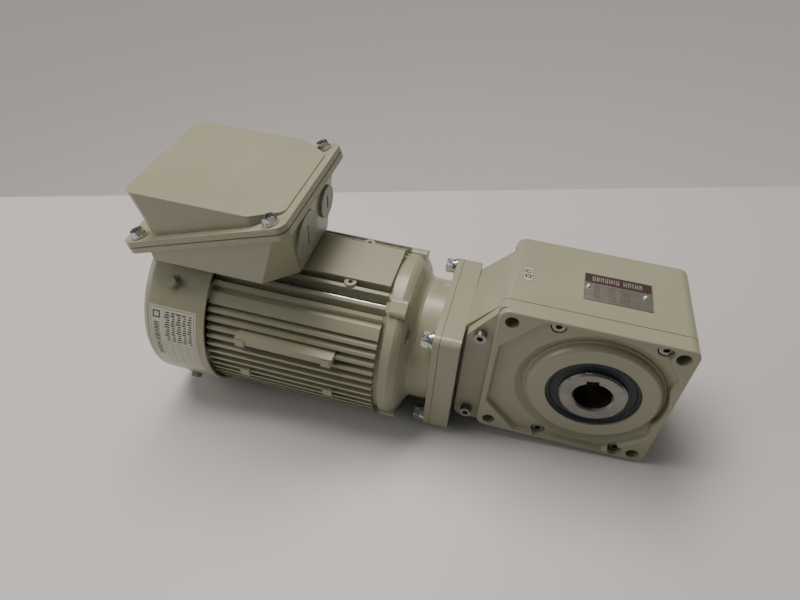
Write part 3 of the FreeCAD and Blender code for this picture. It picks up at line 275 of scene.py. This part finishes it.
def patch(name, rects, place, material, step=0.004):
    """Thin printed rectangles (u0, u1, v0, v1), each divided finely enough to follow place(u, v)."""
    verts = []
    faces = []
    for u0, u1, v0, v1 in rects:
        nu = max(1, math.ceil(abs(u1 - u0) / step))
        nv = max(1, math.ceil(abs(v1 - v0) / step))
        start = len(verts)
        for i in range(nu + 1):
            for j in range(nv + 1):
                verts.append(place(u0 + (u1 - u0) * i / nu, v0 + (v1 - v0) * j / nv))
        for i in range(nu):
            for j in range(nv):
                a = start + i * (nv + 1) + j
                faces.append((a, a + nv + 1, a + nv + 2, a + 1))
    mesh = bpy.data.meshes.new(name)
    mesh.from_pydata(verts, [], faces)
    mesh.materials.append(material)
    mesh.polygons.foreach_set("use_smooth", [True] * len(mesh.polygons))
    obj = bpy.data.objects.new(name, mesh)
    bpy.context.scene.collection.objects.link(obj)
    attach(obj, "housing")
    return obj


def frame_lines(u0, u1, v0, v1, w):
    """The four strips of a rectangular border."""
    return [(u0, u1, v0, v0 + w), (u0, u1, v1 - w, v1),
            (u0, u0 + w, v0 + w, v1 - w), (u1 - w, u1, v0 + w, v1 - w)]


def case_top(lift):
    def place(x, y):
        return (x, y, CASE_TOP - CASE_DRAFT * y + lift)
    return place


def cowl_side(lift):
    """u along -X from the cowl's open end, v round the cowl from the top edge of the label down."""
    def place(u, v):
        a = math.radians(150.5) + v / COWL_R
        r = COWL_R + lift
        return (-0.2762 - u, r * math.cos(a), MOTOR_Z + r * math.sin(a))
    return place


# Nameplate print: maroon band with pale strokes, ruled rows of short marks below
px0, px1 = PLATE_X
py0, py1 = PLATE_Y
top = case_top(0.00054)
patch("nameplate_band", [(px0 + 0.0006, px1 - 0.0006, 0.0040, py1 - 0.0006)], top, maroon)
bars = []
x = px0 + 0.0052
for i, w in enumerate((2.2, 2.0, 2.4, 2.2, 2.4, 1.0, 2.2, 2.4, 2.4, 1.0, 2.4, 2.0)):
    if i == 7:
        x += 0.0018
    w *= 0.86 * MM
    y = 0.0062 + 0.0014 * (i % 3)
    bars += [(x, x + STROKE, 0.0062, 0.0110), (x + w - STROKE, x + w, 0.0062, 0.0110)]
    if w > 2 * STROKE:
        bars.append((x + STROKE, x + w - STROKE, y, y + 0.0010))
    x += w + 0.0008
patch("nameplate_bars", bars, case_top(0.00057), bright)
lines = frame_lines(px0 + 0.0006, px1 - 0.0006, py0 + 0.0006, py1 - 0.0006, 0.00025)
for k in range(8):
    y = 0.0024 - k * 0.0020
    lines.append((px0 + 0.0060, px1 - 0.0070, y, y + 0.00022))
for k in range(7):
    y = 0.0010 - k * 0.0020
    for x, w in ((-0.0155, 0.0062), (-0.0070, 0.0050), (0.0010, 0.0080)):
        length = w * (0.6 + 0.2 * ((k * 3 + int(x * 1000)) % 3))
        lines.append((x, x + length, y, y + 0.0008))
patch("nameplate_fields", lines, top, grey_ink)

# Sealant showing as a fine line round the joint of the two flanges
def flange_edge(lift):
    """u along X, v round the square flange from the middle of its top."""
    flat = FLANGE_HALF - FLANGE_CORNER
    arc = FLANGE_CORNER * math.pi / 2

    def place(u, v):
        side, along = divmod(v + flat + arc / 2, 2 * flat + arc)
        turn = math.radians(-90 * side)
        if along < arc:
            a = math.pi - (along / arc) * math.pi / 2
            r = FLANGE_CORNER + lift
            y, z = -flat + r * math.cos(a), flat + r * math.sin(a)
        else:
            y, z = -flat + along - arc, FLANGE_HALF + lift
        c, d = math.cos(turn), math.sin(turn)
        return (JOINT_X + u, y * c - z * d, MOTOR_Z + y * d + z * c)

    return place


around = 8 * (FLANGE_HALF - FLANGE_CORNER) + 2 * math.pi * FLANGE_CORNER
patch("flange_sealant", [(-0.00022, 0.00018, 0.0, around)], flange_edge(0.00005), sealant,
      0.0015)

# Small pale sticker beside the nameplate
patch("sticker", [(-0.0620, -0.0543, -0.0075, 0.0080)], case_top(0.00010), white)
dots = []
for k in range(8):
    y = -0.0070 + k * 0.0019
    dots += [(-0.0617, -0.0610, y, y + 0.0011), (-0.0553, -0.0546, y, y + 0.0011)]
for k in range(3):
    x = -0.0603 + k * 0.0018
    dots += [(x, x + 0.0010, -0.0072, -0.0065), (x, x + 0.0010, 0.0070, 0.0077)]
dots += frame_lines(-0.0602, -0.0561, -0.0040, -0.0006, 0.0009)
dots += [(-0.0602, -0.0561, 0.0012, 0.0020), (-0.0602, -0.0561, 0.0036, 0.0044),
         (-0.0602, -0.0593, 0.0020, 0.0036)]
patch("sticker_print", dots, case_top(0.00013), ink)

# Rating label wrapped on the cowl: rows of marks, a ruled grid and a heading of strokes
patch("rating_label", [(0.0, LABEL_U, 0.0, LABEL_V)], cowl_side(0.00004), cream, 0.002)
rows = frame_lines(0.0012, LABEL_U - 0.0012, 0.0012, LABEL_V - 0.0012, 0.0003)
for k in range(9):
    v = 0.0300 + k * 0.0029
    rows.append((0.0030, 0.0262, v, v + 0.00022))
for u in (0.0030, 0.0085, 0.0140, 0.0200, 0.0262):
    rows.append((u, u + 0.00022, 0.0300, 0.0534))
patch("rating_label_rules", rows, cowl_side(0.00007), grey_ink, 0.002)
marks = []
for k in range(13):
    v = 0.0038 + k * 0.0019
    for u, w in ((0.0032, 0.0034), (0.0075, 0.0030), (0.0115, 0.0038), (0.0162, 0.0032), (0.0205, 0.0040)):
        marks.append((u, u + w * (0.55 + 0.15 * ((k + int(u * 10000)) % 4)), v, v + 0.0010))
marks += frame_lines(0.0278, 0.0334, 0.0040, 0.0096, 0.0009)
v = 0.0130
for w in (3.0, 2.6, 3.2, 2.2, 3.0, 0.0, 3.4, 2.4, 3.0, 2.6):
    w *= 0.9 * MM
    if w:
        marks += [(0.0284, 0.0330, v, v + HEADING), (0.0284, 0.0330, v + w - HEADING, v + w),
                  (0.0304, 0.0312, v + HEADING, v + w - HEADING)]
    v += w + 0.0009
patch("rating_label_marks", marks, cowl_side(0.00007), ink, 0.002)

# ------------------------------------------------------------ bench, ground, lights, camera

TILT = math.radians(5.5)      # the object leans on its fan cowl and the case's lower edge
contact = Vector((0.050, 0.0, -0.0592))
bench_frame = Matrix.Translation(contact) @ Matrix.Rotation(-TILT, 4, "Y")


def stage_sheet(name, corners, material):
    mesh = bpy.data.meshes.new(name)
    mesh.from_pydata([bench_frame @ Vector(c) for c in corners], [], [(0, 1, 2, 3)])
    mesh.materials.append(material)
    obj = bpy.data.objects.new(name, mesh)
    bpy.context.scene.collection.objects.link(obj)
    return obj


def laminate(name, base, rough, glow=0.0):
    s = Shader(name)
    cloud = s.noise(3.5, 3.0)
    fine = s.noise(700.0, 3.0, 0.6)
    n = s.bump(fine, 0.12, 0.00005)
    s.set(Base_Color=s.spread(cloud, shade(base, 0.97), base), Roughness=s.spread(fine, rough, rough + 0.08),
          Normal=n, Emission_Color=(*base, 1), Emission_Strength=glow)
    return s.m


BENCH_YAW = math.radians(12.5)
edge = Vector((-0.2700, 0.2740, 0.0))
along = Vector((math.cos(BENCH_YAW), math.sin(BENCH_YAW), 0))
left = edge - along * 2.4
right = edge + along * 2.4
near = Vector((math.sin(BENCH_YAW), -math.cos(BENCH_YAW), 0)) * 2.6
bench = laminate("bench_laminate", (0.655, 0.640, 0.625), 0.42)
paint = laminate("ground_paint", (0.400, 0.378, 0.350), 0.7, 0.79)
stage_sheet("bench", [left + near, right + near, right, left], bench)
stage_sheet("ground", [(-8, -8, -0.6), (8, -8, -0.6), (8, 8, -0.6), (-8, 8, -0.6)], paint)


def area_light(name, place, aim, size, watts, colour):
    data = bpy.data.lights.new(name, "AREA")
    data.shape = "RECTANGLE"
    data.size, data.size_y = size
    data.energy = watts
    data.color = colour
    obj = bpy.data.objects.new(name, data)
    obj.location = place
    obj.rotation_euler = (Vector(aim) - Vector(place)).to_track_quat("-Z", "Y").to_euler()
    bpy.context.scene.collection.objects.link(obj)


area_light("ceiling", (-0.60, 0.32, 1.40), (-0.15, 0.02, 0.0), (1.3, 0.56), 25.5, (1.0, 0.935, 0.895))
area_light("window", (1.3, 0.15, 0.8), (0.0, 0.0, 0.0), (0.8, 0.5), 1.8, (1.0, 0.98, 0.96))
area_light("lamp", (-1.30, -0.40, 0.50), (-0.2, 0.0, -0.05), (0.9, 0.7), 4.6, (1.0, 0.985, 0.95))
area_light("room", (-0.9, -1.4, 0.9), (-0.1, 0.0, 0.0), (1.4, 1.0), 0.5, (0.96, 0.99, 1.0))

world = bpy.data.worlds.new("room_air")
world.use_nodes = True
world.node_tree.nodes["Background"].inputs["Color"].default_value = (0.93, 0.95, 1.0, 1)
world.node_tree.nodes["Background"].inputs["Strength"].default_value = 0.09
bpy.context.scene.world = world

camera_data = bpy.data.cameras.new("camera")
camera_data.lens = 27.65
camera_data.sensor_width = 36.0
camera = bpy.data.objects.new("camera", camera_data)
camera.location = (-0.0735, -0.3213, 0.3206)
camera.rotation_euler = (math.radians(46.483), math.radians(-2.817), math.radians(15.022))
bpy.context.scene.collection.objects.link(camera)
bpy.context.scene.camera = camera
